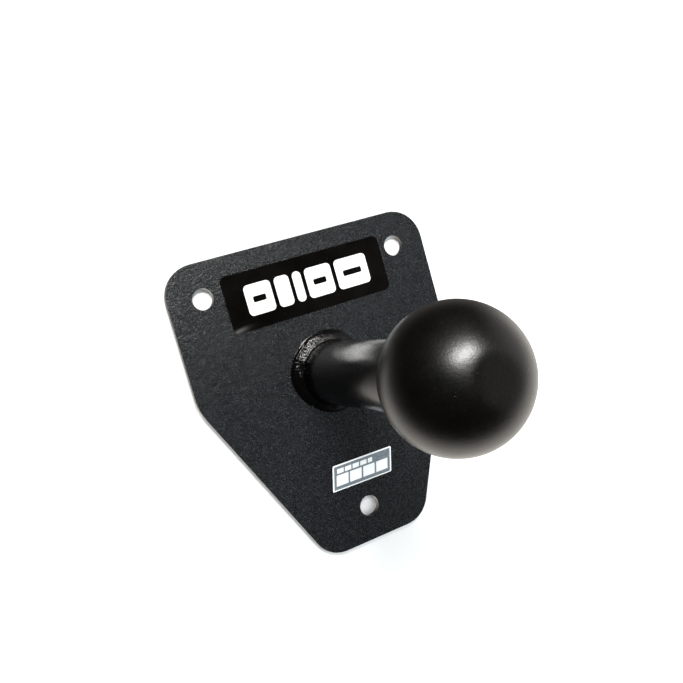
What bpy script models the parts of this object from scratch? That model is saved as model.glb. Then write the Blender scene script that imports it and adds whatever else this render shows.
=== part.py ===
"""Hitch ball on a straight shank, welded square to a flat bolt-on plate.

The plate lies on z = 0 with the ball up. The origin is on the shank's axis at the plate's back face,
+Y points to the plate's wide edge with two bolt holes, and X runs across it. All lengths are in metres.
"""

import math

import bmesh
import bpy
from mathutils import Vector

GAP = 0.0003  # clearance between pieces that touch on the real object

PLATE_WIDTH = 0.1397
PLATE_THICKNESS = 0.0032
PLATE_TOP_Y = 0.07025
PLATE_TAPER_Y = 0.0028
PLATE_BOTTOM_Y = -0.0885
PLATE_BOTTOM_WIDTH = 0.0558
TOP_CORNER_RADIUS = 0.016
WAIST_CORNER_RADIUS = 0.030
BOTTOM_CORNER_RADIUS = 0.0155
PLATE_EDGE_BREAK = 0.0003

BOLT_HOLE_RADIUS = 0.0052
TOP_HOLE_X = 0.0525
TOP_HOLE_Y = 0.05275
BOTTOM_HOLE_Y = -0.07125

SHANK_RADIUS = 0.015875
SPIGOT_RADIUS = 0.0111
SPIGOT_CHAMFER = 0.0004
TENON_RADIUS = 0.012
TENON_LENGTH = 0.028
TENON_CHAMFER = 0.0015
SHANK_CHAMFER = 0.0005

BALL_RADIUS = 0.029369
BALL_CENTRE_Z = 0.123
BALL_FLAT_RADIUS = 0.0093
BALL_SEAT_RADIUS = 0.0163
SOCKET_DEPTH = 0.0290
SOCKET_CONE_DEPTH = 0.0040

BORE_RADIUS = SPIGOT_RADIUS + GAP
COUNTERSINK_DEPTH = 0.0020
COUNTERSINK_RADIUS = 0.0141
COUNTERSINK_SLOPE = (COUNTERSINK_RADIUS - BORE_RADIUS) / COUNTERSINK_DEPTH
BACK_WELD_HEIGHT = 0.0014

FIRST_RUN_TOE_RADIUS = 0.0223
SECOND_RUN_TOE_RADIUS = 0.0203
WELD_TOP_Z = 0.0070
FIRST_RUN_ARC = (20.0, 221.0)
SECOND_RUN_ARC = (223.0, 378.0)
WELD_BULGE = ((1.0, 0.0), (0.82, 0.32), (0.52, 0.74), (0.22, 1.0))  # shares of the bead's width and height
WELD_END_SCALE = 0.55
WELD_TAPER_ANGLE = 9.0
WELD_POINT_STEP = 5.0

LABEL_WIDTH = 0.0868
LABEL_HEIGHT = 0.0285
LABEL_CENTRE = (0.0008, 0.0462)
LABEL_CORNER_RADIUS = 0.0032
BADGE_WIDTH = 0.0370
BADGE_HEIGHT = 0.0127
BADGE_SLANT = 0.0032
BADGE_CENTRE = (0.0016, -0.0520)
BADGE_TURN = -1.4
BADGE_CORNER_RADIUS = 0.0007
STICKER_THICKNESS = 0.0003

ROUND_STEPS = 64
HOLE_STEPS = 40
BALL_ARC_STEPS = 26
CORNER_STEPS = 9
MERGE = 0.00001

BLACK_COAT = (0.035, 0.036, 0.039, 1.0)
BLACK_SATIN = (0.028, 0.027, 0.026, 1.0)
WELD_BLACK = (0.022, 0.021, 0.020, 1.0)
LABEL_BLACK = (0.012, 0.011, 0.011, 1.0)
BADGE_SILVER = (0.46, 0.49, 0.52, 1.0)


def clear_scene():
    for old in list(bpy.data.objects):
        bpy.data.objects.remove(old, do_unlink=True)


def new_collection(name):
    collection = bpy.data.collections.new(name)
    bpy.context.scene.collection.children.link(collection)
    return collection


def principled(name, colour, roughness, metallic):
    material = bpy.data.materials.new(name)
    material.use_nodes = True
    shader = material.node_tree.nodes["Principled BSDF"]
    shader.inputs["Base Color"].default_value = colour
    shader.inputs["Roughness"].default_value = roughness
    shader.inputs["Metallic"].default_value = metallic
    material.diffuse_color = colour
    return material


def place(name, data, collection, material=None):
    piece = bpy.data.objects.new(name, data)
    collection.objects.link(piece)
    if material:
        data.materials.append(material)
    return piece


def turned(name, profile, collection, material=None, steps=ROUND_STEPS):
    """A round piece: its profile of (radius, z) points, from the top down the outer side, turned about Z."""
    mesh = bpy.data.meshes.new(name)
    points = [(radius, 0.0, z) for radius, z in profile]
    edges = [(i, i + 1) for i in range(len(points) - 1)]
    if profile[0][0] > 0.0:
        edges.append((len(points) - 1, 0))
    mesh.from_pydata(points, edges, [])
    piece = place(name, mesh, collection, material)
    screw = piece.modifiers.new("Turn", "SCREW")
    screw.steps = steps
    screw.render_steps = steps
    screw.use_merge_vertices = True
    screw.merge_threshold = MERGE
    screw.use_smooth_shade = True
    return piece


def arc(centre, radius, start, end, steps):
    """Points on a circle from one angle to another, both in degrees and both included."""
    angles = [math.radians(start + (end - start) * i / steps) for i in range(steps + 1)]
    return [(centre[0] + radius * math.cos(a), centre[1] + radius * math.sin(a)) for a in angles]


def rounded_corner(before, corner, after, radius):
    """Points on the arc that rounds one corner of an outline, tangent to both of its sides."""
    here = Vector(corner)
    back = (Vector(before) - here).normalized()
    forward = (Vector(after) - here).normalized()
    half = back.angle(forward) / 2
    centre = here + (back + forward).normalized() * radius / math.sin(half)
    first = here + back * radius / math.tan(half) - centre
    last = here + forward * radius / math.tan(half) - centre
    turn = first.angle_signed(last)
    points = []
    for i in range(CORNER_STEPS + 1):
        angle = -turn * i / CORNER_STEPS
        x = first.x * math.cos(angle) - first.y * math.sin(angle)
        y = first.x * math.sin(angle) + first.y * math.cos(angle)
        points.append((centre.x + x, centre.y + y))
    return points


def rounded_outline(corners, radii):
    count = len(corners)
    points = []
    for i in range(count):
        points += rounded_corner(corners[i - 1], corners[i], corners[(i + 1) % count], radii[i])
    return points


def curve_to_mesh(curve_piece, collection, material):
    """Swap a curve object for a mesh of the same name, with its caps welded on and its faces outward."""
    name = curve_piece.name
    graph = bpy.context.evaluated_depsgraph_get()
    mesh = bpy.data.meshes.new_from_object(curve_piece.evaluated_get(graph))
    matrix = curve_piece.matrix_world.copy()
    bpy.data.objects.remove(curve_piece, do_unlink=True)
    shape = bmesh.new()
    shape.from_mesh(mesh)
    bmesh.ops.remove_doubles(shape, verts=shape.verts, dist=MERGE)
    bmesh.ops.recalc_face_normals(shape, faces=shape.faces)
    shape.to_mesh(mesh)
    shape.free()
    mesh.name = name
    piece = place(name, mesh, collection, material)
    piece.matrix_world = matrix
    return piece


def slab(name, outline, thickness, collection, material):
    """A flat piece with a closed outline, lying from z = 0 up to its thickness."""
    curve = bpy.data.curves.new(name, "CURVE")
    curve.dimensions = "2D"
    curve.fill_mode = "BOTH"
    curve.extrude = thickness / 2
    spline = curve.splines.new("POLY")
    spline.points.add(len(outline) - 1)
    for point, (x, y) in zip(spline.points, outline):
        point.co = (x, y, 0.0, 1.0)
    spline.use_cyclic_u = True
    flat = place(name, curve, collection)
    flat.location.z = thickness / 2
    bpy.context.view_layer.update()
    return curve_to_mesh(flat, collection, material)


def break_edges(piece, width, segments=2):
    bevel = piece.modifiers.new("Edge break", "BEVEL")
    bevel.width = width
    bevel.segments = segments
    bevel.limit_method = "ANGLE"
    bevel.angle_limit = math.radians(60)


def cut(piece, cutter):
    cutter.hide_render = True
    cutter.display_type = "WIRE"
    boolean = piece.modifiers.new("Cut " + cutter.name, "BOOLEAN")
    boolean.operation = "DIFFERENCE"
    boolean.solver = "EXACT"
    boolean.object = cutter


def bolt_hole_cutter(name, x, y, cutters):
    reach = 2 * PLATE_THICKNESS
    profile = [(0.0, reach), (BOLT_HOLE_RADIUS, reach), (BOLT_HOLE_RADIUS, -reach), (0.0, -reach)]
    cutter = turned(name, profile, cutters, steps=HOLE_STEPS)
    cutter.location = (x, y, 0.0)
    return cutter


def spigot_bore_cutter(cutters):
    """The plate's centre bore, with a countersink at the back that the back weld fills."""
    reach = 2 * PLATE_THICKNESS
    profile = [
        (0.0, reach),
        (BORE_RADIUS, reach),
        (BORE_RADIUS, COUNTERSINK_DEPTH),
        (COUNTERSINK_RADIUS + COUNTERSINK_SLOPE * PLATE_THICKNESS, -PLATE_THICKNESS),
        (0.0, -PLATE_THICKNESS),
    ]
    return turned("spigot_bore_cutter", profile, cutters)


def plate_outline():
    wide = PLATE_WIDTH / 2
    narrow = PLATE_BOTTOM_WIDTH / 2
    corners = [
        (-wide, PLATE_TOP_Y),
        (-wide, PLATE_TAPER_Y),
        (-narrow, PLATE_BOTTOM_Y),
        (narrow, PLATE_BOTTOM_Y),
        (wide, PLATE_TAPER_Y),
        (wide, PLATE_TOP_Y),
    ]
    radii = [
        TOP_CORNER_RADIUS,
        WAIST_CORNER_RADIUS,
        BOTTOM_CORNER_RADIUS,
        BOTTOM_CORNER_RADIUS,
        WAIST_CORNER_RADIUS,
        TOP_CORNER_RADIUS,
    ]
    return rounded_outline(corners, radii)


def make_mounting_plate(parts, cutters):
    coat = principled("black_powder_coat", BLACK_COAT, 0.55, 0.0)
    plate = slab("mounting_plate", plate_outline(), PLATE_THICKNESS, parts, coat)
    cut(plate, bolt_hole_cutter("left_hole_cutter", -TOP_HOLE_X, TOP_HOLE_Y, cutters))
    cut(plate, bolt_hole_cutter("right_hole_cutter", TOP_HOLE_X, TOP_HOLE_Y, cutters))
    cut(plate, bolt_hole_cutter("bottom_hole_cutter", 0.0, BOTTOM_HOLE_Y, cutters))
    cut(plate, spigot_bore_cutter(cutters))
    break_edges(plate, PLATE_EDGE_BREAK)


def ball_seat_z():
    """Height of the flat that is faced on the ball's underside for the shank's shoulder."""
    return BALL_CENTRE_Z - math.sqrt(BALL_RADIUS**2 - BALL_SEAT_RADIUS**2)


def make_shank(parts):
    """The round bar, with a spigot through the plate below and a tenon into the ball above."""
    shoulder = ball_seat_z() - GAP
    tenon_top = shoulder + TENON_LENGTH
    foot = PLATE_THICKNESS + GAP
    profile = [
        (0.0, tenon_top),
        (TENON_RADIUS - TENON_CHAMFER, tenon_top),
        (TENON_RADIUS, tenon_top - TENON_CHAMFER),
        (TENON_RADIUS, shoulder),
        (SHANK_RADIUS - SHANK_CHAMFER, shoulder),
        (SHANK_RADIUS, shoulder - SHANK_CHAMFER),
        (SHANK_RADIUS, foot),
        (SPIGOT_RADIUS, foot),
        (SPIGOT_RADIUS, SPIGOT_CHAMFER),
        (SPIGOT_RADIUS - SPIGOT_CHAMFER, 0.0),
        (0.0, 0.0),
    ]
    turned("shank", profile, parts, principled("satin_black_shank", BLACK_SATIN, 0.3, 0.3))


def make_ball(parts):
    """The ball, with a flat on its tip, a flat seat underneath and a blind socket for the tenon."""
    seat = ball_seat_z()
    socket = TENON_RADIUS + GAP
    tip_angle = math.degrees(math.acos(BALL_FLAT_RADIUS / BALL_RADIUS))
    seat_angle = -math.degrees(math.acos(BALL_SEAT_RADIUS / BALL_RADIUS))
    outside = arc((0.0, BALL_CENTRE_Z), BALL_RADIUS, tip_angle, seat_angle, BALL_ARC_STEPS)
    inside = [
        (socket, seat),
        (socket, seat + SOCKET_DEPTH),
        (0.0, seat + SOCKET_DEPTH + SOCKET_CONE_DEPTH),
    ]
    profile = [(0.0, outside[0][1])] + outside + inside
    turned("hitch_ball", profile, parts, principled("satin_black_ball", BLACK_SATIN, 0.35, 0.3))


def make_back_weld(parts):
    """The ring of weld that fills the countersink round the spigot, ground flush with the plate's back."""
    foot_radius = COUNTERSINK_RADIUS - GAP * math.hypot(1.0, COUNTERSINK_SLOPE)
    top_radius = foot_radius - COUNTERSINK_SLOPE * BACK_WELD_HEIGHT
    profile = [
        (BORE_RADIUS, BACK_WELD_HEIGHT),
        (top_radius, BACK_WELD_HEIGHT),
        (foot_radius, 0.0),
        (BORE_RADIUS, 0.0),
    ]
    turned("back_weld", profile, parts, principled("ground_weld", WELD_BLACK, 0.4, 0.3))


def bead_section(toe_radius, collection):
    """Section of a fillet bead, measured from its root: out along the plate, up along the shank."""
    reach = toe_radius - SHANK_RADIUS - GAP
    rise = WELD_TOP_Z - PLATE_THICKNESS - GAP
    curve = bpy.data.curves.new("bead_section", "CURVE")
    curve.dimensions = "2D"
    spline = curve.splines.new("POLY")
    bulge = [(out * reach, up * rise) for out, up in WELD_BULGE]
    points = [(0.0, 0.0)] + bulge + [(0.0, rise)]
    spline.points.add(len(points) - 1)
    for point, (out, up) in zip(spline.points, points):
        point.co = (out, up, 0.0, 1.0)
    spline.use_cyclic_u = True
    return place("bead_section", curve, collection)


def make_weld_run(name, toe_radius, arc_degrees, parts, cutters, coat):
    """One run of the front fillet weld, swept round the shank's foot and tapered at both ends."""
    section = bead_section(toe_radius, cutters)
    start, end = arc_degrees
    steps = round((end - start) / WELD_POINT_STEP)
    path = bpy.data.curves.new(name, "CURVE")
    path.dimensions = "3D"
    path.bevel_mode = "OBJECT"
    path.bevel_object = section
    path.use_fill_caps = True
    spline = path.splines.new("POLY")
    root = arc((0.0, 0.0), SHANK_RADIUS + GAP, start, end, steps)
    spline.points.add(steps)
    for i, (x, y) in enumerate(root):
        from_end = min(i, steps - i) * (end - start) / steps
        share = min(1.0, from_end / WELD_TAPER_ANGLE)
        spline.points[i].co = (x, y, PLATE_THICKNESS + GAP, 1.0)
        spline.points[i].radius = WELD_END_SCALE + (1.0 - WELD_END_SCALE) * share
    run = place(name, path, parts)
    bpy.context.view_layer.update()
    curve_to_mesh(run, parts, coat)
    bpy.data.objects.remove(section, do_unlink=True)


def make_front_weld(parts, cutters):
    coat = principled("glossy_black_weld", WELD_BLACK, 0.18, 0.3)
    make_weld_run("front_weld_first_run", FIRST_RUN_TOE_RADIUS, FIRST_RUN_ARC, parts, cutters, coat)
    make_weld_run("front_weld_second_run", SECOND_RUN_TOE_RADIUS, SECOND_RUN_ARC, parts, cutters, coat)


def make_upper_label(parts):
    right = LABEL_WIDTH / 2
    top = LABEL_HEIGHT / 2
    corners = [(-right, top), (-right, -top), (right, -top), (right, top)]
    outline = rounded_outline(corners, [LABEL_CORNER_RADIUS] * 4)
    vinyl = principled("black_label_vinyl", LABEL_BLACK, 0.15, 0.0)
    label = slab("upper_label", outline, STICKER_THICKNESS, parts, vinyl)
    label.location = (*LABEL_CENTRE, PLATE_THICKNESS + GAP + STICKER_THICKNESS / 2)


def make_lower_badge(parts):
    right = BADGE_WIDTH / 2
    top = BADGE_HEIGHT / 2
    lean = BADGE_SLANT / 2
    corners = [(-right + lean, top), (-right - lean, -top), (right - lean, -top), (right + lean, top)]
    outline = rounded_outline(corners, [BADGE_CORNER_RADIUS] * 4)
    foil = principled("silver_badge_foil", BADGE_SILVER, 0.35, 0.6)
    badge = slab("lower_badge", outline, STICKER_THICKNESS, parts, foil)
    badge.location = (*BADGE_CENTRE, PLATE_THICKNESS + GAP + STICKER_THICKNESS / 2)
    badge.rotation_euler.z = math.radians(BADGE_TURN)


def main():
    clear_scene()
    parts = new_collection("plate_mounted_hitch_ball")
    cutters = new_collection("cutters")
    make_mounting_plate(parts, cutters)
    make_shank(parts)
    make_ball(parts)
    make_front_weld(parts, cutters)
    make_back_weld(parts)
    make_upper_label(parts)
    make_lower_badge(parts)


main()
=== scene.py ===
"""Finish and studio for a hitch ball on a straight shank, welded to a flat bolt-on plate.

Laid out as a Blender add-on: sizes and colours sit in property groups, each group of like pieces has
an operator, and one panel lists them. Every length is in metres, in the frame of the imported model.
"""

import math

import bpy
import numpy as np
from bpy.props import FloatProperty, FloatVectorProperty, IntProperty, PointerProperty
from mathutils import Matrix, Vector, noise


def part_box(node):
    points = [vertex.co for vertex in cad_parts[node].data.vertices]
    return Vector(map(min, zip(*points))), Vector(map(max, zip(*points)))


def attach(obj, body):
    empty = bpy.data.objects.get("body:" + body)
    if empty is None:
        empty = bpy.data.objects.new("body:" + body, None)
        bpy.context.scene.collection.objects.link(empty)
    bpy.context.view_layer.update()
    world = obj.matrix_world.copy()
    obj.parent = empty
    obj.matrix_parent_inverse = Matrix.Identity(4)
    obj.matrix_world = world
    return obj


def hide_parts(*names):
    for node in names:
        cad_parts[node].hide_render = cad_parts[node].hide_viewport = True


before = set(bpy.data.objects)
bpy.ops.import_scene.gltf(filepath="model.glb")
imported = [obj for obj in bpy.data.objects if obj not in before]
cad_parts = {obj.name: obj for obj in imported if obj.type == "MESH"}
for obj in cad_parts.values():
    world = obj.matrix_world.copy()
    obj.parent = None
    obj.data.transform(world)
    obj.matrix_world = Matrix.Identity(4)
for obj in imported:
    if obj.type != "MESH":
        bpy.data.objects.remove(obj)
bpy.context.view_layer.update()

bl_info = {
    "name": "Plate hitch ball",
    "version": (1, 0, 0),
    "blender": (4, 5, 0),
    "location": "3D View > Sidebar > Hitch Ball",
    "description": "Builds the finished pieces of a plate-mounted hitch ball and its studio",
    "category": "Object",
}

MM = 0.001
BODY = "root"

SHANK_LOW, SHANK_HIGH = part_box("shank")
BALL_LOW, BALL_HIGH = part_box("hitch_ball")
LABEL_LOW, LABEL_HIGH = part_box("upper_label")

PLATE_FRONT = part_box("mounting_plate")[1].z
WELD_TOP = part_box("front_weld_first_run")[1].z
SHANK_RADIUS = (SHANK_HIGH.x - SHANK_LOW.x) / 2
BALL_RADIUS = 0.029369  # half of 2 5/16 inches, which the ball is taken to measure
WELD_GAP = 0.15 * MM  # between the shank and the weld's root
WELD_LIFT = 0.05 * MM  # between the plate and the weld's underside
FILM_LIFT = 0.02 * MM  # between the plate and a sticker
MERGE_DISTANCE = 2e-6


# --- Shader graphs -------------------------------------------------------------------------------


class Socket:
    """An output in a shader graph. Sums and products of it add the Math nodes that they stand for."""

    def __init__(self, graph, output):
        self.graph = graph
        self.output = output

    def math(self, operation, *values):
        inputs = dict(enumerate((self, *values)))
        return self.graph.node("ShaderNodeMath", {"operation": operation}, inputs)

    def __add__(self, other):
        return self.math("ADD", other)

    def __radd__(self, other):
        return self.math("ADD", other)

    def __sub__(self, other):
        return self.math("SUBTRACT", other)

    def __rsub__(self, other):
        return self.math("MULTIPLY", -1.0).math("ADD", other)

    def __mul__(self, other):
        return self.math("MULTIPLY", other)

    def __truediv__(self, other):
        return self.math("DIVIDE", other)


class Graph:
    """The nodes of one finish or of the studio's surroundings."""

    def __init__(self, tree):
        self.tree = tree
        tree.nodes.clear()

    def node(self, kind, settings=None, inputs=None, output=0):
        """Add a node: its settings first, then the values or links of its sockets."""
        made = self.tree.nodes.new(kind)
        for key, value in (settings or {}).items():
            setattr(made, key, value)
        for key, value in (inputs or {}).items():
            self.feed(made.inputs[key], value)
        return Socket(self, made.outputs[output]) if made.outputs else made

    def feed(self, socket, value):
        if isinstance(value, Socket):
            self.tree.links.new(value.output, socket)
        else:
            socket.default_value = value

    def place(self, centre=(0.0, 0.0, 0.0), turn=0.0, scale=(1.0, 1.0, 1.0)):
        """Object coordinates in millimetres, centred on a point and turned about Z."""
        spot = self.node("ShaderNodeTexCoord", output="Object")
        settings = {"vector_type": "TEXTURE"}
        size = [MM / s for s in scale]
        inputs = {"Vector": spot, "Location": centre, "Rotation": (0.0, 0.0, turn), "Scale": size}
        return self.node("ShaderNodeMapping", settings, inputs)

    def split(self, vector):
        made = self.node("ShaderNodeSeparateXYZ", inputs={"Vector": vector})
        outputs = made.output.node.outputs
        return [Socket(self, outputs[i]) for i in range(3)]

    def join(self, x, y, z):
        return self.node("ShaderNodeCombineXYZ", inputs={"X": x, "Y": y, "Z": z})

    def noise(self, vector, scale, detail=2.0, rough=0.5, distort=0.0):
        inputs = {
            "Vector": vector,
            "Scale": scale,
            "Detail": detail,
            "Roughness": rough,
            "Distortion": distort,
        }
        return self.node("ShaderNodeTexNoise", inputs=inputs)

    def cells(self, vector, scale):
        """Distance to the nearest of many scattered points."""
        inputs = {"Vector": vector, "Scale": scale}
        return self.node("ShaderNodeTexVoronoi", inputs=inputs, output="Distance")

    def span(self, value, low, high, to_low=0.0, to_high=1.0):
        """Map a range of a value smoothly onto another, held at both ends."""
        settings = {"interpolation_type": "SMOOTHSTEP"}
        inputs = {"Value": value, 1: low, 2: high, 3: to_low, 4: to_high}
        return self.node("ShaderNodeMapRange", settings, inputs)

    def mix(self, share, first, second):
        settings = {"data_type": "RGBA"}
        inputs = {"Factor": share, 6: first, 7: second}
        return self.node("ShaderNodeMix", settings, inputs, output=2)

    def bump(self, height, depth, normal=None):
        """Relief from a height of 0 to 1, which stands for this depth in metres."""
        inputs = {"Height": height, "Strength": 1.0, "Distance": depth}
        if normal:
            inputs["Normal"] = normal
        return self.node("ShaderNodeBump", inputs=inputs)


def rgba(colour):
    return (*colour[:3], 1.0)


def scaled(colour, factor):
    """The colour made darker or lighter by a factor."""
    return rgba([channel * factor for channel in colour])


def finish(name, build):
    """A material whose surface is the Principled shader that the build function fills in."""
    material = bpy.data.materials.new(name)
    material.use_nodes = True
    graph = Graph(material.node_tree)
    surface = graph.node("ShaderNodeBsdfPrincipled", inputs=build(graph))
    graph.node("ShaderNodeOutputMaterial", inputs={"Surface": surface})
    return material


def wear(piece, material):
    piece.data.materials.clear()
    piece.data.materials.append(material)


# --- Modelling by hand, in code ------------------------------------------------------------------


def start_clean():
    if bpy.context.mode != "OBJECT":
        bpy.ops.object.mode_set(mode="OBJECT")
    bpy.ops.object.select_all(action="DESELECT")


def begin(name):
    """Name the primitive that was just added, put its place into its mesh and open it for editing."""
    piece = bpy.context.active_object
    piece.name = name
    piece.data.name = name
    bpy.ops.object.transform_apply(location=True, rotation=True, scale=True)
    bpy.ops.object.mode_set(mode="EDIT")
    return piece


def end(piece, angle=None):
    """Close seams, face outwards, and shade smooth up to an angle."""
    bpy.ops.object.mode_set(mode="EDIT")
    bpy.ops.mesh.select_all(action="SELECT")
    bpy.ops.mesh.remove_doubles(threshold=MERGE_DISTANCE)
    bpy.ops.mesh.normals_make_consistent(inside=False)
    bpy.ops.object.mode_set(mode="OBJECT")
    if angle:
        bpy.ops.object.shade_smooth_by_angle(angle=math.radians(angle))
    return piece


def pick(piece, kind, test):
    """Select only the vertices, edges or faces of the piece that pass a test."""
    bpy.ops.object.mode_set(mode="OBJECT")
    mesh = piece.data
    for group in (mesh.vertices, mesh.edges, mesh.polygons):
        group.foreach_set("select", np.zeros(len(group), bool))
    chosen = {"VERT": mesh.vertices, "EDGE": mesh.edges, "FACE": mesh.polygons}[kind]
    found = 0
    for item in chosen:
        item.select = bool(test(item))
        found += item.select
    if not found:
        raise RuntimeError(f"{piece.name}: nothing to select")
    bpy.ops.object.mode_set(mode="EDIT")
    bpy.ops.mesh.select_mode(type=kind)


def edge_ends(piece, edge):
    return [piece.data.vertices[i].co for i in edge.vertices]


def ring_at(piece, height, radius, slack=2e-5):
    """A test for the edges of the ring at this height and about this radius."""

    def test(edge):
        ends = edge_ends(piece, edge)
        level = all(abs(co.z - height) < slack for co in ends)
        return level and all(abs(math.hypot(co.x, co.y) - radius) < 10 * slack for co in ends)

    return test


def cap_at(height, side, slack=2e-5):
    """A test for the flat face at this height that looks up (side 1) or down (side -1)."""
    return lambda face: face.normal.z * side > 0.99 and abs(face.center.z - height) < slack


def extrude_along_z(distance):
    bpy.ops.mesh.extrude_region_move(TRANSFORM_OT_translate={"value": (0.0, 0.0, distance)})


def vertices_of(piece):
    flat = np.empty(len(piece.data.vertices) * 3)
    piece.data.vertices.foreach_get("co", flat)
    return flat.reshape(-1, 3)


def move_vertices(piece, points):
    piece.data.vertices.foreach_set("co", points.astype(np.float32).ravel())
    piece.data.update()


def noise_at(places):
    """Smooth noise at each place."""
    return np.array([noise.noise(Vector(place)) for place in places])


def hand_over(piece, slot, *nodes):
    """Attach a new piece to the body and hide the imported nodes that it stands for."""
    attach(piece, BODY)
    if nodes:
        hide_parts(*nodes)


# --- Sizes and colours that a user would change --------------------------------------------------


class PlateSettings(bpy.types.PropertyGroup):
    colour: FloatVectorProperty(
        name="Coat colour",
        description="Colour of the powder coat on the plate",
        subtype="COLOR",
        default=(0.0062, 0.0074, 0.0084),
        min=0.0,
        max=1.0,
    )
    roughness: FloatProperty(
        name="Coat roughness",
        description="How dull the powder coat is",
        subtype="FACTOR",
        default=0.27,
        min=0.0,
        max=1.0,
    )
    shine: FloatProperty(
        name="Coat shine",
        description="Strength of the powder coat's mirror-like part",
        subtype="FACTOR",
        default=0.42,
        min=0.0,
        max=1.0,
    )
    grain_depth: FloatProperty(
        name="Grain depth",
        description="Height of the powder coat's fine texture",
        subtype="DISTANCE",
        unit="LENGTH",
        default=0.00040,
        min=0.0,
        precision=6,
    )


class ShankSettings(bpy.types.PropertyGroup):
    colour: FloatVectorProperty(
        name="Paint colour",
        description="Colour of the thin paint on the turned shank",
        subtype="COLOR",
        default=(0.0010, 0.0009, 0.0008),
        min=0.0,
        max=1.0,
    )
    roughness: FloatProperty(
        name="Paint roughness",
        description="How dull the shank's paint is",
        subtype="FACTOR",
        default=0.24,
        min=0.0,
        max=1.0,
    )
    mark_pitch: FloatProperty(
        name="Turning mark pitch",
        description="Distance between the lathe's turning marks",
        subtype="DISTANCE",
        unit="LENGTH",
        default=0.0009,
        min=0.0001,
        precision=5,
    )


class BallSettings(bpy.types.PropertyGroup):
    colour: FloatVectorProperty(
        name="Paint colour",
        description="Colour of the satin paint on the ball",
        subtype="COLOR",
        default=(0.0008, 0.0006, 0.0005),
        min=0.0,
        max=1.0,
    )
    roughness: FloatProperty(
        name="Paint roughness",
        description="How dull the ball's paint is",
        subtype="FACTOR",
        default=0.34,
        min=0.0,
        max=1.0,
    )
    flat_edge: FloatProperty(
        name="Flat's edge",
        description="Depth over which the flat on the ball's tip melts into the ball",
        subtype="DISTANCE",
        unit="LENGTH",
        default=0.00032,
        min=0.00005,
        precision=5,
    )
    segments: IntProperty(
        name="Segments",
        description="Faces round the ball",
        default=192,
        min=48,
        max=256,
    )


class WeldSettings(bpy.types.PropertyGroup):
    colour: FloatVectorProperty(
        name="Paint colour",
        description="Colour of the gloss paint that pools on the weld",
        subtype="COLOR",
        default=(0.0010, 0.0009, 0.0008),
        min=0.0,
        max=1.0,
    )
    roughness: FloatProperty(
        name="Paint roughness",
        description="How dull the weld's paint is",
        subtype="FACTOR",
        default=0.08,
        min=0.0,
        max=1.0,
    )
    ripple_pitch: FloatProperty(
        name="Ripple pitch",
        description="Distance between the weld's ripples along the bead",
        subtype="DISTANCE",
        unit="LENGTH",
        default=0.0017,
        min=0.0005,
        precision=5,
    )
    ripple_height: FloatProperty(
        name="Ripple height",
        description="How far the weld's ripples stand up",
        subtype="DISTANCE",
        unit="LENGTH",
        default=0.00010,
        min=0.0,
        precision=5,
    )
    strand_height: FloatProperty(
        name="Strand height",
        description="How far the drawn-out strands along the bead stand up",
        subtype="DISTANCE",
        unit="LENGTH",
        default=0.00030,
        min=0.0,
        precision=5,
    )


class LabelSettings(bpy.types.PropertyGroup):
    black: FloatVectorProperty(
        name="Film colour",
        description="Colour of the label's black film",
        subtype="COLOR",
        default=(0.0012, 0.0010, 0.0008),
        min=0.0,
        max=1.0,
    )
    white: FloatVectorProperty(
        name="Print colour",
        description="Colour of the label's printed blocks",
        subtype="COLOR",
        default=(0.83, 0.83, 0.82),
        min=0.0,
        max=1.0,
    )
    thickness: FloatProperty(
        name="Thickness",
        description="Thickness of the label's film",
        subtype="DISTANCE",
        unit="LENGTH",
        default=0.00025,
        min=0.00005,
        precision=5,
    )


class BadgeSettings(bpy.types.PropertyGroup):
    silver: FloatVectorProperty(
        name="Foil colour",
        description="Colour of the badge's silver-grey ground",
        subtype="COLOR",
        default=(0.155, 0.185, 0.205),
        min=0.0,
        max=1.0,
    )
    white: FloatVectorProperty(
        name="Print colour",
        description="Colour of the badge's rim and blocks",
        subtype="COLOR",
        default=(0.78, 0.79, 0.80),
        min=0.0,
        max=1.0,
    )
    thickness: FloatProperty(
        name="Thickness",
        description="Thickness of the badge",
        subtype="DISTANCE",
        unit="LENGTH",
        default=0.00025,
        min=0.00005,
        precision=5,
    )


class StageSettings(bpy.types.PropertyGroup):
    floor_colour: FloatVectorProperty(
        name="Floor colour",
        description="Colour of the plain pale floor",
        subtype="COLOR",
        default=(0.74, 0.74, 0.735),
        min=0.0,
        max=1.0,
    )
    floor_size: FloatProperty(
        name="Floor size",
        description="Length of the floor's sides",
        subtype="DISTANCE",
        unit="LENGTH",
        default=8.0,
        min=1.0,
    )
    key_power: FloatProperty(
        name="Key light power",
        description="Power of the soft box over the object",
        subtype="POWER",
        unit="POWER",
        default=21.5,
        min=0.0,
    )
    key_width: FloatProperty(
        name="Key light width",
        description="Length of the soft box's long sides",
        subtype="DISTANCE",
        unit="LENGTH",
        default=0.56,
        min=0.05,
    )
    key_height: FloatProperty(
        name="Key light height",
        description="Length of the soft box's short sides",
        subtype="DISTANCE",
        unit="LENGTH",
        default=0.18,
        min=0.05,
    )
    fill_power: FloatProperty(
        name="Fill light power",
        description="Power of the wide panel that softens the shadows",
        subtype="POWER",
        unit="POWER",
        default=6.2,
        min=0.0,
    )


# --- Pieces --------------------------------------------------------------------------------------


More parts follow.
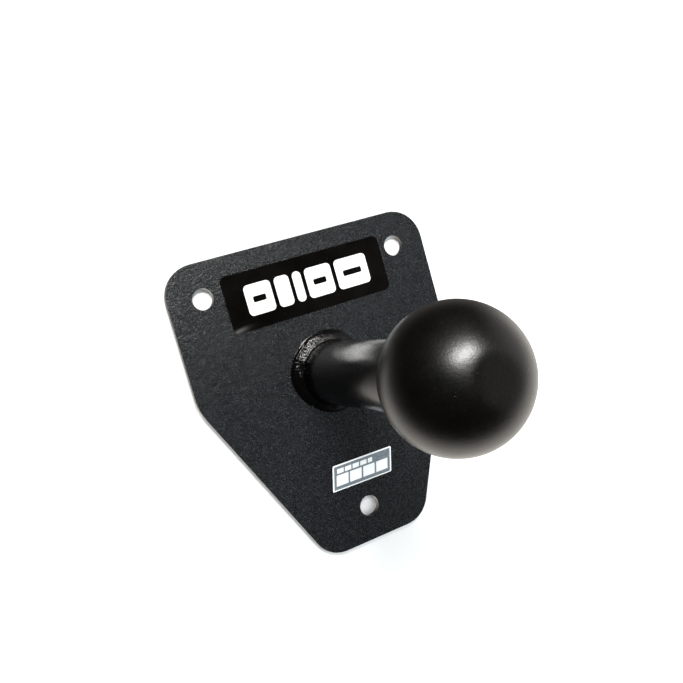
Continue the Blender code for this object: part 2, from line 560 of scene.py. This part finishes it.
def powder_coat(settings):
    """Black powder coat: a fine pebbled grain whose pale tips are partly painted glints, duller in soft
    clouds.
    """

    def build(g):
        here = g.place()
        grain = g.noise(here, 1.5, detail=2.0, rough=0.7)
        pebble = g.noise(here, 0.55, detail=2.0, rough=0.6)
        clouds = g.noise(here, 0.028, detail=3.0, rough=0.55)
        # The grain's peaks get a lighter base colour: partly the coat's own grain, partly a painted
        # glint standing in for sparkle.
        grain_tips_and_painted_glints = g.span(grain * 0.75 + pebble * 0.25, 0.52, 0.70)
        pits = g.span(grain * 0.6 + pebble * 0.4, 0.36, 0.50)
        dark = scaled(settings.colour, 0.25)
        middle = rgba(settings.colour)
        light = scaled(settings.colour, 4.2)
        colour = g.mix(grain_tips_and_painted_glints, g.mix(pits, dark, middle), light)
        roughness = settings.roughness + (grain - 0.5) * 0.3 + (clouds - 0.5) * 0.10
        return {
            "Base Color": colour,
            "Roughness": roughness,
            "Specular IOR Level": settings.shine,
            "Normal": g.bump(grain * 0.6 + pebble * 0.4, settings.grain_depth),
        }

    return finish("black_powder_coat", build)


class HITCH_OT_coat_plate(bpy.types.Operator):
    """Give the mounting plate its black powder coat."""

    bl_idname = "hitch.coat_plate"
    bl_label = "Coat plate"

    def execute(self, context):
        wear(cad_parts["mounting_plate"], powder_coat(context.scene.hitch_plate))
        return {"FINISHED"}


def turned_paint(settings):
    """Thin satin paint over a turned bar: fine rings round the bar and a faint uneven sheen."""

    def build(g):
        here = g.place()
        _, _, z = g.split(here)
        wobble = g.noise(here, 0.35, detail=2.0) * 0.5
        rings = (z / (settings.mark_pitch / MM) * math.tau + wobble * 3.0).math("SINE") * 0.5 + 0.5
        streaks = g.noise(g.place(scale=(0.12, 0.12, 3.2)), 1.0, detail=3.0, rough=0.6)
        mottle = g.noise(here, 0.9, detail=3.0, rough=0.6)
        tone = g.span(streaks * 0.6 + mottle * 0.4, 0.3, 0.7)
        dark = scaled(settings.colour, 0.75)
        light = scaled(settings.colour, 1.35)
        roughness = settings.roughness + (streaks - 0.5) * 0.12 + (mottle - 0.5) * 0.08
        relief = g.bump(rings * 0.35 + streaks * 0.65, 0.000004)
        return {
            "Base Color": g.mix(tone, dark, light),
            "Roughness": roughness,
            "Anisotropic": 0.6,
            "Normal": relief,
        }

    return finish("satin_black_shank", build)


class HITCH_OT_make_shank(bpy.types.Operator):
    """Model the round shank with its spigot below and its tenon above."""

    bl_idname = "hitch.make_shank"
    bl_label = "Make shank"

    spigot_radius = 0.0111
    tenon_radius = 0.012
    tenon_length = 0.028
    foot_gap = 0.3 * MM
    shoulder_bevel = 0.5 * MM
    tenon_bevel = 1.5 * MM
    spigot_bevel = 0.4 * MM
    ring_slack = 1e-4

    def execute(self, context):
        foot = PLATE_FRONT + self.foot_gap
        shoulder = SHANK_HIGH.z - self.tenon_length
        start_clean()
        bpy.ops.mesh.primitive_cylinder_add(
            vertices=192,
            radius=SHANK_RADIUS,
            depth=shoulder - foot,
            location=(0.0, 0.0, (shoulder + foot) / 2),
            end_fill_type="NGON",
        )
        shank = begin("turned_shank")
        pick(shank, "FACE", cap_at(shoulder, 1))
        bpy.ops.mesh.inset(thickness=SHANK_RADIUS - self.tenon_radius)
        extrude_along_z(self.tenon_length)
        pick(shank, "FACE", cap_at(foot, -1))
        bpy.ops.mesh.inset(thickness=SHANK_RADIUS - self.spigot_radius)
        extrude_along_z(SHANK_LOW.z - foot)
        pick(shank, "EDGE", ring_at(shank, shoulder, SHANK_RADIUS))
        bpy.ops.mesh.bevel(offset=self.shoulder_bevel, segments=3)
        pick(shank, "EDGE", ring_at(shank, SHANK_HIGH.z, self.tenon_radius, self.ring_slack))
        bpy.ops.mesh.bevel(offset=self.tenon_bevel, segments=2)
        pick(shank, "EDGE", ring_at(shank, SHANK_LOW.z, self.spigot_radius, self.ring_slack))
        bpy.ops.mesh.bevel(offset=self.spigot_bevel, segments=2)
        end(shank, 30.0)
        wear(shank, turned_paint(context.scene.hitch_shank))
        hand_over(shank, "shank_coat", "shank")
        return {"FINISHED"}


def ball_paint(settings):
    """Satin paint with orange peel, a few dust nibs under it and fine rubbed marks."""

    def build(g):
        here = g.place(centre=(0.0, 0.0, (BALL_LOW.z + BALL_HIGH.z) / 2))
        peel = g.noise(here, 0.85, detail=2.5, rough=0.55, distort=0.4)
        fine = g.noise(here, 2.6, detail=2.0, rough=0.5)
        clouds = g.noise(here, 0.07, detail=3.0, rough=0.55)
        dust = g.span(g.cells(here, 0.16), 0.030, 0.055, 1.0, 0.0)
        specks = g.span(g.cells(here, 0.42), 0.035, 0.07, 1.0, 0.0)
        tone = g.span(clouds * 0.6 + peel * 0.4, 0.35, 0.65)
        dark = scaled(settings.colour, 0.8)
        light = scaled(settings.colour, 1.4)
        colour = g.mix(tone, dark, light)
        colour = g.mix(specks * 0.35, colour, (0.05, 0.048, 0.045, 1.0))
        roughness = settings.roughness + (clouds - 0.5) * 0.12 + (peel - 0.5) * 0.10
        surface = g.bump(peel * 0.8 + fine * 0.2, 0.000055)
        surface = g.bump(dust + specks * 0.3, 0.00006, surface)
        return {
            "Base Color": colour,
            "Roughness": roughness,
            "Normal": surface,
        }

    return finish("satin_black_ball", build)


class HITCH_OT_make_ball(bpy.types.Operator):
    """Model the ball with the flat on its tip, the seat underneath and the socket inside."""

    bl_idname = "hitch.make_ball"
    bl_label = "Make ball"

    seat_radius = 0.0163
    socket_radius = 0.0123
    socket_depth = 0.029
    cone_depth = 0.004
    seat_bevel = 0.35 * MM
    seat_slack = 5e-5
    tip_zone = 8 * MM

    def execute(self, context):
        settings = context.scene.hitch_ball
        tip = BALL_HIGH.z
        seat = BALL_LOW.z
        centre = seat + math.sqrt(BALL_RADIUS**2 - self.seat_radius**2)
        start_clean()
        bpy.ops.mesh.primitive_uv_sphere_add(
            segments=settings.segments,
            ring_count=settings.segments * 3 // 4,
            radius=BALL_RADIUS,
            location=(0.0, 0.0, centre),
        )
        ball = begin("painted_ball")
        bpy.ops.mesh.select_all(action="SELECT")
        bpy.ops.mesh.bisect(
            plane_co=(0.0, 0.0, seat),
            plane_no=(0.0, 0.0, -1.0),
            use_fill=True,
            clear_outer=True,
            threshold=1e-6,
        )
        pick(ball, "FACE", cap_at(seat, -1))
        bpy.ops.mesh.inset(thickness=self.seat_radius - self.socket_radius)
        extrude_along_z(self.socket_depth)
        extrude_along_z(self.cone_depth)
        bpy.ops.mesh.merge(type="CENTER")
        pick(ball, "EDGE", ring_at(ball, seat, self.seat_radius, self.seat_slack))
        bpy.ops.mesh.bevel(offset=self.seat_bevel, segments=3)
        end(ball, 30.0)
        # The tip's flat melts into the ball over the depth of its edge.
        points = vertices_of(ball)
        near_tip = points[:, 2] > tip - self.tip_zone
        step = (points[near_tip, 2] - tip) / settings.flat_edge
        points[near_tip, 2] = tip - settings.flat_edge * np.logaddexp(0.0, -step)
        move_vertices(ball, points)
        wear(ball, ball_paint(settings))
        hand_over(ball, "ball_coat", "hitch_ball")
        return {"FINISHED"}


def weld_paint(settings):
    """Gloss paint pooled on a weld: smooth, with drawn-out streaks along the bead."""

    def build(g):
        here = g.place()
        x, y, z = g.split(here)
        turn = y.math("ARCTAN2", x)
        reach = (x * x + y * y).math("SQRT")
        along = g.join(turn * 4.5, reach * 1.5, z * 1.5)
        strands = g.noise(along, 1.0, detail=2.5, rough=0.65, distort=0.2)
        fine = g.noise(here, 1.6, detail=2.0, rough=0.5)
        tone = g.span(strands, 0.35, 0.7)
        dark = scaled(settings.colour, 0.7)
        light = scaled(settings.colour, 1.6)
        roughness = settings.roughness + (fine - 0.5) * 0.06 + (strands - 0.5) * 0.06
        surface = g.bump(strands, 0.0004)
        surface = g.bump(fine, 0.00002, surface)
        return {
            "Base Color": g.mix(tone, dark, light),
            "Roughness": roughness,
            "Normal": surface,
        }

    return finish("gloss_black_weld", build)


class HITCH_OT_make_weld_runs(bpy.types.Operator):
    """Model the two runs of the fillet weld round the shank's foot, rippled along the bead."""

    bl_idname = "hitch.make_weld_runs"
    bl_label = "Make weld runs"

    runs = (
        ("first_weld_run", "front_weld_first_run", 0.0223, 20.0, 221.0),
        ("second_weld_run", "front_weld_second_run", 0.0203, 223.0, 378.0),
    )
    least_reach = 0.0203 - SHANK_RADIUS - WELD_GAP
    spin_step = 0.75  # degrees
    drift_rate, swell_rate = 9.0, 2.3
    drift_height, swell_height = 0.00010, 0.00022
    ripple_bow, ripple_wander, ripple_offset = 0.55, 0.35, 0.1
    strand_rates, strand_offset, strand_level = (4.5, 5.0, 3.0), 11.3, 0.7
    room_out, room_up = 0.00025, 0.0001  # left free for the relief
    skin = 0.02  # the share of the section that stays flat against the shank and the plate
    outward, upward = 0.8, 0.7  # the shares of the relief that go out and up
    end_angle, end_size, end_growth = 3.0, 0.86, 0.14
    ease_angle = 50.0  # degrees over which the wider run narrows
    outline = (
        (0.0, 0.0),
        (0.5, 0.0),
        (0.99, 0.0),
        (1.0, 0.010),
        (0.98, 0.022),
        (0.95, 0.05),
        (0.915, 0.11),
        (0.87, 0.21),
        (0.82, 0.32),
        (0.75, 0.46),
        (0.67, 0.59),
        (0.58, 0.71),
        (0.48, 0.81),
        (0.38, 0.89),
        (0.28, 0.945),
        (0.18, 0.985),
        (0.08, 1.0),
        (0.0, 0.97),
        (0.0, 0.5),
    )

    def section(self, name, reach, rise):
        """The bead's section, standing at the start of the run, from a flat disc of as many corners."""
        start_clean()
        bpy.ops.mesh.primitive_circle_add(vertices=len(self.outline), radius=reach, fill_type="NGON")
        bead = begin(name)
        bpy.ops.object.mode_set(mode="OBJECT")
        root = Vector((SHANK_RADIUS + WELD_GAP, 0.0, PLATE_FRONT + WELD_LIFT))
        for vertex, (out, up) in zip(bead.data.vertices, self.outline):
            vertex.co = root + Vector((out * reach, 0.0, up * rise))
        return bead, root

    def execute(self, context):
        settings = context.scene.hitch_weld
        coat = weld_paint(settings)
        rise = WELD_TOP - PLATE_FRONT - WELD_LIFT
        for seed, (name, node, toe, start, stop) in enumerate(self.runs):
            reach = toe - SHANK_RADIUS - WELD_GAP
            bead, root = self.section(name, reach, rise)
            steps = round((stop - start) / self.spin_step)
            bpy.ops.object.mode_set(mode="EDIT")
            bpy.ops.mesh.select_all(action="SELECT")
            bpy.ops.mesh.spin(
                steps=steps,
                angle=math.radians(stop - start),
                center=(0.0, 0.0, 0.0),
                axis=(0.0, 0.0, 1.0),
            )
            end(bead)
            self.shape(bead, root, reach, rise, start, stop, seed, settings)
            end(bead, 60.0)
            wear(bead, coat)
            hand_over(bead, "weld_coat", node)
        return {"FINISHED"}

    def shape(self, bead, root, reach, rise, start, stop, seed, settings):
        """Ripple the spun bead along its length, and round off and narrow its ends."""
        points = vertices_of(bead)
        radius = np.hypot(points[:, 0], points[:, 1])
        turn = np.degrees(np.arctan2(points[:, 1], points[:, 0]))
        length = stop - start
        # The spin may run either way round, so the travelled angle is read from the points.
        forward = np.mod(turn, 360.0)
        backward = np.mod(-turn, 360.0)
        slack = 0.01
        if np.all(np.mod(forward + slack, 360.0) <= length + 2 * slack):
            travelled = np.mod(forward + slack, 360.0) - slack
        else:
            travelled = np.mod(backward + slack, 360.0) - slack
        travelled = np.clip(travelled, 0.0, length)
        out = (radius - root.x) / reach
        up = (points[:, 2] - root.z) / rise
        angle = np.radians(start + travelled)
        arc_length = np.radians(travelled) * (root.x + reach / 2)
        # Ripples bow back from the bead's middle and stand out from its face.
        face = np.clip(np.minimum(out + up, 1.0), 0.0, 1.0)
        across = np.clip(up - out, -1.0, 1.0)
        phase = arc_length / settings.ripple_pitch + self.ripple_bow * across**2
        phase = phase + self.ripple_offset * seed
        drift = noise_at((a * self.drift_rate, 3.1 + seed, 0.0) for a in angle)
        swell = noise_at((a * self.swell_rate, 7.7 + seed, 0.0) for a in angle)
        ripple = np.abs(np.sin(np.pi * (phase + self.ripple_wander * drift)))
        by_turn, by_out, by_up = self.strand_rates
        strand = noise_at(
            (a * by_turn, o * by_out, u * by_up + self.strand_offset * seed)
            for a, o, u in zip(angle, out, up)
        )
        lift = settings.ripple_height * (ripple - 1.0) * face
        lift += settings.strand_height * (strand - self.strand_level) * face
        wander = self.swell_height * swell * face + self.drift_height * drift * face
        outward = np.where(out > self.skin, self.outward, 0.0)
        upward = np.where(up > self.skin, self.upward, 0.0)
        grow_out = out * (reach - self.room_out) + (lift + wander) * outward
        grow_up = up * (rise - self.room_up) + lift * upward
        # Both ends round off into the corner.
        from_end = np.minimum(travelled, length - travelled)
        share = np.clip(from_end / self.end_angle, 0.0, 1.0)
        size = self.end_size + self.end_growth * np.sqrt(1.0 - (1.0 - share) ** 2)
        # The wider run narrows towards its ends, so that the toe goes on unbroken.
        share = np.clip(from_end / self.ease_angle, 0.0, 1.0)
        ease = share * share * (3.0 - 2.0 * share)
        narrow = self.least_reach / max(reach, self.least_reach)
        width = narrow + (1.0 - narrow) * ease
        new_radius = root.x + np.clip(grow_out, 0.0, None) * size * width
        new_height = root.z + np.clip(grow_up, 0.0, None) * size
        points[:, 0] = new_radius * np.cos(angle)
        points[:, 1] = new_radius * np.sin(angle)
        points[:, 2] = new_height
        move_vertices(bead, points)


def ground_weld():
    """Weld metal ground flush: fine parallel scratches over dull grey steel."""

    def build(g):
        turn = math.radians(35.0)
        drawn_out = g.place(turn=turn, scale=(0.25, 6.0, 1.0))
        scratches = g.noise(drawn_out, 1.0, detail=3.0, rough=0.6)
        mottle = g.noise(g.place(turn=turn), 0.5, detail=3.0)
        tone = g.span(scratches * 0.6 + mottle * 0.4, 0.3, 0.7)
        dark = (0.10, 0.098, 0.095, 1.0)
        light = (0.30, 0.295, 0.285, 1.0)
        return {
            "Base Color": g.mix(tone, dark, light),
            "Metallic": 0.9,
            "Roughness": 0.34 + (mottle - 0.5) * 0.2,
            "Normal": g.bump(scratches, 0.00001),
        }

    return finish("ground_weld_steel", build)


class HITCH_OT_finish_back_weld(bpy.types.Operator):
    """Give the ring of weld at the plate's back its ground finish."""

    bl_idname = "hitch.finish_back_weld"
    bl_label = "Finish back weld"

    def execute(self, context):
        wear(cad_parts["back_weld"], ground_weld())
        return {"FINISHED"}


def film(name, low, high, thickness, corner, lean=0.0, turn=0.0):
    """A thin sticker with rounded corners, laid on the plate's front."""
    centre = (low + high) / 2
    width, height = high.x - low.x, high.y - low.y
    start_clean()
    bpy.ops.mesh.primitive_cube_add(size=1.0, scale=(width, height, thickness))
    piece = begin(name)

    def upright(edge):
        ends = edge_ends(piece, edge)
        return abs(ends[0].z - ends[1].z) > thickness / 2

    pick(piece, "EDGE", upright)
    bpy.ops.mesh.bevel(offset=corner, segments=10)
    pick(piece, "FACE", lambda face: face.normal.z > 0.99)
    bpy.ops.mesh.inset(thickness=thickness * 0.35)
    pick(piece, "FACE", lambda face: face.normal.z > 0.99 and len(face.vertices) > 4)
    bpy.ops.mesh.inset(thickness=0.6 * MM)
    end(piece)
    points = vertices_of(piece)
    points[:, 0] += points[:, 1] * lean
    flat = Matrix.Rotation(turn, 3, "Z")
    points = points @ np.array(flat).T
    points[:, 2] += PLATE_FRONT + FILM_LIFT + thickness / 2
    points[:, 0] += centre.x
    points[:, 1] += centre.y
    move_vertices(piece, points)
    return end(piece, 40.0)


def label_print(settings):
    """Glossy black film with a row of plain rounded blocks in white, three of them slotted."""
    # Each block as its middle, half its width and its slot's half width, in millimetres.
    blocks = (
        (-26.2, 7.0, 3.4),
        (-13.2, 3.9, 0.0),
        (-5.0, 2.3, 0.0),
        (6.6, 7.2, 3.6),
        (25.0, 9.0, 5.2),
    )
    row_drop = 0.2
    block_half_height, block_corner = 7.6, 2.2
    slot_half_height, slot_corner = 1.5, 0.8
    blur = 0.09

    def build(g):
        centre = (LABEL_LOW + LABEL_HIGH) / 2
        here = g.place(centre=centre)
        x, y, _ = g.split(here)
        level = (y + row_drop).math("ABSOLUTE")

        def block(middle, half_width, half_height, corner):
            """1 inside a rounded rectangle and 0 outside it."""
            away_x = ((x - middle).math("ABSOLUTE") - (half_width - corner)).math("MAXIMUM", 0.0)
            away_y = (level - (half_height - corner)).math("MAXIMUM", 0.0)
            away = (away_x * away_x + away_y * away_y).math("SQRT")
            return g.span(away, corner - blur, corner + blur, 1.0, 0.0)

        ink = None
        for middle, half, slot in blocks:
            shape = block(middle, half, block_half_height, block_corner)
            if slot:
                shape = shape * (1.0 - block(middle, slot, slot_half_height, slot_corner))
            ink = shape if ink is None else ink + shape
        dust = g.span(g.cells(here, 0.32), 0.03, 0.06, 1.0, 0.0)
        haze = g.noise(here, 0.05, detail=3.0, rough=0.6)
        hazy_black = (0.0030, 0.0026, 0.0022, 1.0)
        dust_grey = (0.2, 0.2, 0.19, 1.0)
        worn_white = (0.80, 0.80, 0.79, 1.0)
        black = g.mix(g.span(haze, 0.35, 0.7), rgba(settings.black), hazy_black)
        black = g.mix(dust * 0.15, black, dust_grey)
        worn = g.noise(here, 1.1, detail=3.0, rough=0.6)
        white = g.mix(g.span(worn, 0.3, 0.7), worn_white, rgba(settings.white))
        ripple = g.noise(here, 0.045, detail=1.0)
        surface = g.bump(ripple, 0.00006)
        surface = g.bump(worn * 0.3 + ink * 0.7, 0.000003, surface)
        return {
            "Base Color": g.mix(ink, black, white),
            "Roughness": 0.02 + haze * 0.03,
            "IOR": 1.5,
            "Normal": surface,
        }

    return finish("black_label_film", build)


class HITCH_OT_make_upper_label(bpy.types.Operator):
    """Model the wide glossy label on the plate's front."""

    bl_idname = "hitch.make_upper_label"
    bl_label = "Make upper label"

    corner_radius = 0.0032

    def execute(self, context):
        settings = context.scene.hitch_label
        label = film(
            "wide_label", LABEL_LOW, LABEL_HIGH, settings.thickness, self.corner_radius
        )
        wear(label, label_print(settings))
        hand_over(label, "label_vinyl", "upper_label")
        return {"FINISHED"}


def badge_print(settings, centre, width, height, slant, turn):
    """Silver-grey foil with a white rim and two rows of plain white blocks."""
    # Widths and places in millimetres, from the badge's middle.
    blur = 0.08
    rim_width = 0.75
    lower_rim = (0.45, 0.6)
    row_margin = 2.0
    short_end = 5.8

    def build(g):
        place = {"centre": (*centre, PLATE_FRONT), "turn": turn}
        here = g.place(**place)
        x, y, _ = g.split(here)
        leaned = x - y * (slant / height)
        across = leaned.math("ABSOLUTE")
        half_width = (width - slant) / 2 / MM
        half_height = height / 2 / MM

        def beyond(value, limit):
            return g.span(value, limit - blur, limit + blur)

        def within(value, limit):
            return g.span(value, limit - blur, limit + blur, 1.0, 0.0)

        def row(middle, half, pitch, shift, gap):
            """A stripe round a middle height, cut into blocks of one pitch by thin gaps."""
            stripe = within((y - middle).math("ABSOLUTE"), half)
            block = (leaned / pitch + shift).math("FRACT")
            return stripe * g.span((block - 0.5).math("ABSOLUTE"), *gap, 1.0, 0.0)

        rim = beyond(across, half_width - rim_width)
        rim = rim.math("MAXIMUM", beyond(y, half_height - rim_width))
        start, stop = lower_rim
        rim = rim.math("MAXIMUM", g.span(y, -half_height + start, -half_height + stop, 1.0, 0.0))
        upper = row(3.1, 1.1, 4.4, 0.35, (0.40, 0.43)) * within(leaned, short_end)
        lower = row(-1.5, 2.6, 7.6, 0.0, (0.43, 0.45))
        length = within(across, half_width - row_margin)
        ink = rim.math("MAXIMUM", length * upper.math("MAXIMUM", lower))
        brushed = g.noise(g.place(**place, scale=(0.3, 3.0, 1.0)), 1.0)
        mottle = g.noise(here, 0.8, detail=3.0, rough=0.6)
        dark = scaled(settings.silver, 0.8)
        light = scaled(settings.silver, 1.3)
        silver = g.mix(g.span(brushed * 0.5 + mottle * 0.5, 0.3, 0.7), dark, light)
        return {
            "Base Color": g.mix(ink, silver, rgba(settings.white)),
            "Metallic": 0.25 - ink * 0.25,
            "Roughness": 0.36 + (mottle - 0.5) * 0.16,
            "Normal": g.bump(mottle * 0.4 + ink * 0.6, 0.000006),
        }

    return finish("silver_badge_foil", build)


class HITCH_OT_make_lower_badge(bpy.types.Operator):
    """Model the small leaning badge near the plate's narrow end."""

    bl_idname = "hitch.make_lower_badge"
    bl_label = "Make lower badge"

    width = 0.0370
    height = 0.0127
    slant = 0.0032
    centre = (0.0016, -0.0520)
    turn = math.radians(-1.4)
    corner_radius = 0.0007

    def execute(self, context):
        settings = context.scene.hitch_badge
        half = Vector(((self.width - self.slant) / 2, self.height / 2, 0.0))
        middle = Vector((*self.centre, 0.0))
        lean = self.slant / self.height
        badge = film(
            "leaning_badge",
            middle - half,
            middle + half,
            settings.thickness,
            self.corner_radius,
            lean,
            self.turn,
        )
        shape = (self.centre, self.width, self.height, self.slant, self.turn)
        wear(badge, badge_print(settings, *shape))
        hand_over(badge, "badge_foil", "lower_badge")
        return {"FINISHED"}


# --- Studio --------------------------------------------------------------------------------------

KEY_DIRECTION = Vector((-0.07, 0.60, 0.80))  # from the object towards the soft box
KEY_DISTANCE = 1.1
KEY_COLOUR = (1.0, 0.985, 0.97)
FILL_DIRECTION = Vector((0.62, -0.62, 0.48))
FILL_DISTANCE = 0.62
FILL_SIZE = (0.7, 0.7)
FILL_COLOUR = (0.93, 0.98, 1.0)
LIGHT_TARGET = Vector((0.0, 0.0, 0.06))
CAMERA_PLACE = Vector((-0.1470, 0.0537, 0.3811))
CAMERA_RIGHT = Vector((0.8787, -0.2705, 0.3933))
CAMERA_UP = Vector((0.2872, 0.9577, 0.0169))
CAMERA_LENS = 42.84


def floor_finish(settings):
    """Plain pale floor with a barely uneven, dull surface."""

    def build(g):
        here = g.place()
        patches = g.noise(here, 0.01, detail=3.0)
        dark = scaled(settings.floor_colour, 0.985)
        return {
            "Base Color": g.mix(patches, dark, rgba(settings.floor_colour)),
            "Roughness": 0.7 + (patches - 0.5) * 0.1,
        }

    return finish("pale_floor", build)


def surroundings():
    """A dim room with a white table in front of the object and a pale wall on its right."""
    world = bpy.context.scene.world or bpy.data.worlds.new("studio")
    bpy.context.scene.world = world
    world.use_nodes = True
    g = Graph(world.node_tree)
    direction = g.node("ShaderNodeTexCoord", output="Generated")

    def towards(place, low, high):
        aim = Vector(place).normalized()
        settings = {"operation": "DOT_PRODUCT"}
        facing = g.node("ShaderNodeVectorMath", settings, {0: direction, 1: aim}, output="Value")
        return g.span(facing, low, high)

    shade = towards((0.30, 0.60, -0.74), 0.62, 0.90)
    table = towards((0.389, -0.342, -0.856), 0.28, 0.64) * (1.0 - shade * 0.9)
    wall = towards((0.95, -0.10, 0.15), 0.52, 0.95)
    dim_room = (0.030, 0.028, 0.027, 1.0)
    pale_wall = (0.80, 0.79, 0.77, 1.0)
    white_table = (1.75, 1.66, 1.53, 1.0)
    even_light = (0.42, 0.44, 0.45, 1.0)
    backdrop = (0.93, 0.93, 0.93, 1.0)
    colour = g.mix(wall, dim_room, pale_wall)
    colour = g.mix(table, colour, white_table)
    # Dull surfaces get even light and the camera a plain backdrop: only reflections show the room.
    scattered = g.node("ShaderNodeLightPath", output="Is Diffuse Ray")
    colour = g.mix(scattered, colour, even_light)
    seen = g.node("ShaderNodeLightPath", output="Is Camera Ray")
    colour = g.mix(seen, colour, backdrop)
    light = g.node("ShaderNodeBackground", inputs={"Color": colour, "Strength": 1.0})
    g.node("ShaderNodeOutputWorld", inputs={"Surface": light})


def soft_box(name, direction, distance, size, power, colour):
    """A rectangular area light that faces the object from a direction."""
    light = bpy.data.lights.new(name, "AREA")
    light.shape = "RECTANGLE"
    light.size, light.size_y = size
    light.energy = power
    light.color = colour
    lamp = bpy.data.objects.new(name, light)
    bpy.context.scene.collection.objects.link(lamp)
    lamp.location = LIGHT_TARGET + direction.normalized() * distance
    lamp.rotation_euler = direction.to_track_quat("Z", "Y").to_euler()
    return lamp


class HITCH_OT_set_stage(bpy.types.Operator):
    """Lay the floor, hang the soft box and set up the camera."""

    bl_idname = "hitch.set_stage"
    bl_label = "Set stage"

    def execute(self, context):
        settings = context.scene.hitch_stage
        start_clean()
        bpy.ops.mesh.primitive_plane_add(size=settings.floor_size, location=(0.0, 0.0, 0.0))
        floor = begin("studio_floor")
        end(floor)
        wear(floor, floor_finish(settings))
        floor.visible_glossy = False
        surroundings()
        soft_box(
            "key_soft_box",
            KEY_DIRECTION,
            KEY_DISTANCE,
            (settings.key_width, settings.key_height),
            settings.key_power,
            KEY_COLOUR,
        )
        # The fill only softens shadows: it stands wide and never shows as a mirror image.
        fill = soft_box(
            "fill_panel",
            FILL_DIRECTION,
            FILL_DISTANCE,
            FILL_SIZE,
            settings.fill_power,
            FILL_COLOUR,
        )
        fill.visible_glossy = False
        context.scene.view_settings.view_transform = "Standard"
        self.set_camera(context.scene)
        return {"FINISHED"}

    def set_camera(self, scene):
        data = bpy.data.cameras.new("studio_camera")
        data.lens = CAMERA_LENS
        data.sensor_width = 36.0
        data.clip_start = 0.01
        data.clip_end = 50.0
        camera = bpy.data.objects.new("studio_camera", data)
        scene.collection.objects.link(camera)
        right = CAMERA_RIGHT.normalized()
        back = right.cross(CAMERA_UP).normalized()
        up = back.cross(right)
        turn = Matrix((right, up, back)).transposed().to_4x4()
        camera.matrix_world = Matrix.Translation(CAMERA_PLACE) @ turn
        scene.camera = camera


# --- Add-on --------------------------------------------------------------------------------------

SETTINGS = {
    "hitch_plate": PlateSettings,
    "hitch_shank": ShankSettings,
    "hitch_ball": BallSettings,
    "hitch_weld": WeldSettings,
    "hitch_label": LabelSettings,
    "hitch_badge": BadgeSettings,
    "hitch_stage": StageSettings,
}

OPERATORS = (
    HITCH_OT_coat_plate,
    HITCH_OT_make_shank,
    HITCH_OT_make_ball,
    HITCH_OT_make_weld_runs,
    HITCH_OT_finish_back_weld,
    HITCH_OT_make_upper_label,
    HITCH_OT_make_lower_badge,
    HITCH_OT_set_stage,
)


class HITCH_PT_pieces(bpy.types.Panel):
    """The pieces of the hitch ball and the settings of each."""

    bl_idname = "HITCH_PT_pieces"
    bl_label = "Plate hitch ball"
    bl_space_type = "VIEW_3D"
    bl_region_type = "UI"
    bl_category = "Hitch Ball"

    def draw(self, context):
        layout = self.layout
        for name in SETTINGS:
            box = layout.box()
            group = getattr(context.scene, name)
            for key in group.bl_rna.properties.keys():
                if key not in ("rna_type", "name"):
                    box.prop(group, key)
        for operator in OPERATORS:
            layout.operator(operator.bl_idname)


def register():
    for settings in SETTINGS.values():
        bpy.utils.register_class(settings)
    for name, settings in SETTINGS.items():
        setattr(bpy.types.Scene, name, PointerProperty(type=settings))
    for operator in OPERATORS:
        bpy.utils.register_class(operator)
    bpy.utils.register_class(HITCH_PT_pieces)


def unregister():
    bpy.utils.unregister_class(HITCH_PT_pieces)
    for operator in reversed(OPERATORS):
        bpy.utils.unregister_class(operator)
    for name in SETTINGS:
        delattr(bpy.types.Scene, name)
    for settings in reversed(list(SETTINGS.values())):
        bpy.utils.unregister_class(settings)


def main():
    register()
    for operator in OPERATORS:
        group, action = operator.bl_idname.split(".")
        getattr(getattr(bpy.ops, group), action)()


if __name__ == "__main__":
    main()
